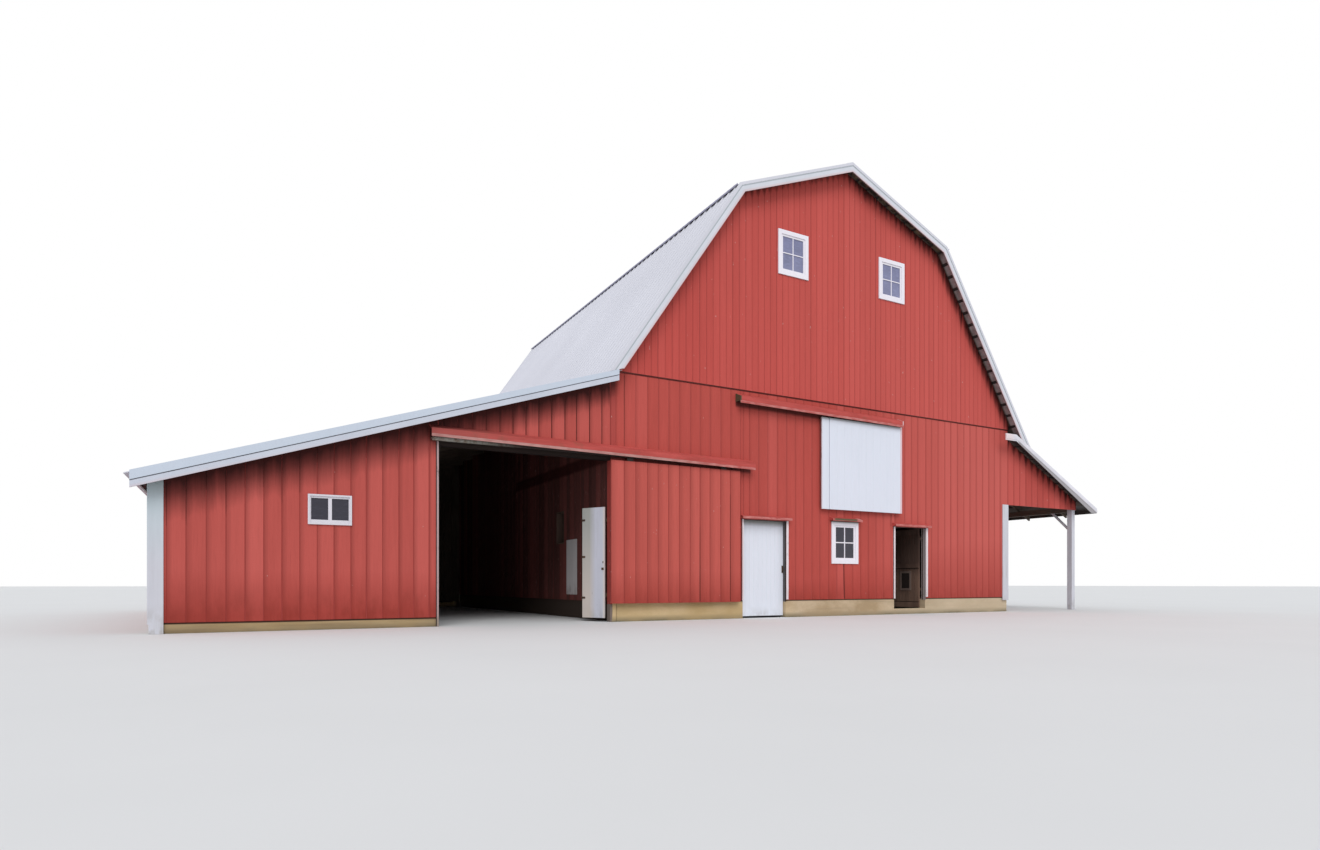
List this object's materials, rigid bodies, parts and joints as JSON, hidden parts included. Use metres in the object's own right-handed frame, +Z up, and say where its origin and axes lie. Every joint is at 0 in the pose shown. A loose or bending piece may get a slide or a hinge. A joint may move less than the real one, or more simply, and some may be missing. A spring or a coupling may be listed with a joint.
{
  "type": "gambrel barn with lean-to and porch",
  "caption": "Red board-sided barn with a white ribbed gambrel roof, a closed lean-to with a sliding door and an open porch on posts.",
  "frame": {"origin": "middle of the base, at the lowest ground under the walls", "axes": "+X along the front to the right, +Y from the front to the back, +Z up"},
  "size_m": [22.88, 12.62, 10.2809],
  "materials": {
    "red_siding": "faded matt barn paint on vertical boards",
    "concrete": "rough tan concrete",
    "white_paint": "worn white paint on boards",
    "roof_metal": "white painted ribbed steel",
    "old_timber": "grey-brown bare old timber",
    "weathered_door": "dark weathered boards",
    "window_glass": "old clear window glass",
    "steel": "dull steel with some rust"
  },
  "bodies": {
    "barn": {"main_foundation": "concrete", "lean_foundation": "concrete", "front_wall_left": "red_siding", "front_wall_middle": "red_siding", "front_wall_right": "red_siding", "front_wall_upper": "red_siding", "front_gable": "red_siding", "back_wall": "red_siding", "back_gable": "red_siding", "side_walls": "red_siding", "lean_front_wall": "red_siding", "lean_front_header": "red_siding", "lean_side_wall": "red_siding", "lean_back_wall": "red_siding", "porch_gables": "red_siding", "porch_posts": "white_paint", "porch_beam": "white_paint", "porch_braces": "white_paint", "loft_floor": "old_timber", "loft_joists": "old_timber", "loft_girders": "old_timber", "loft_posts": "old_timber", "main_rafters": "old_timber", "side_rafters": "old_timber", "main_roof_boards": "old_timber", "side_roof_boards": "old_timber", "upper_roof": "roof_metal", "lower_roof": "roof_metal", "ridge_cap": "roof_metal", "lean_roof": "roof_metal", "porch_roof": "roof_metal", "main_rake_trim": "white_paint", "lean_trim": "white_paint", "lean_edges": "roof_metal", "porch_trim": "white_paint", "corner_boards": "white_paint", "door_tracks": "steel", "track_hoods": "red_siding", "small_hoods": "red_siding", "hood_edges": "roof_metal", "door_trim": "white_paint", "window_frames": "white_paint", "inner_window_frame": "old_timber", "window_glass": "window_glass", "wall_hatch": "white_paint", "loft_door": "white_paint", "loft_hangers": "steel", "hinge_pintles": "steel"},
    "sliding_leaf": {"sliding_door": "red_siding", "door_hangers": "steel"},
    "white_leaf": {"white_door": "white_paint", "white_door_straps": "steel"},
    "dark_leaf": {"dark_door": "weathered_door", "dark_door_straps": "steel"},
    "narrow_leaf": {"side_leaf": "white_paint", "side_leaf_straps": "steel"}
  },
  "joints": [
    {"name": "sliding_door_slide", "type": "slide", "parent": "barn", "child": "sliding_leaf", "axis": [1, 0, 0], "range_m": [-3.25, 0]},
    {"name": "white_door_hinge", "type": "hinge", "parent": "barn", "child": "white_leaf", "pos_m": [0.475, -5.838, 1], "axis": [0, 0, 1], "range_deg": [-90, 0]},
    {"name": "dark_door_hinge", "type": "hinge", "parent": "barn", "child": "dark_leaf", "pos_m": [4.825, -5.838, 1], "axis": [0, 0, 1], "range_deg": [0, 90]},
    {"name": "narrow_leaf_hinge", "type": "hinge", "parent": "barn", "child": "narrow_leaf", "pos_m": [-3.785, -5.838, 1], "axis": [0, 0, 1], "range_deg": [-27.4, 62.6]}
  ]
}
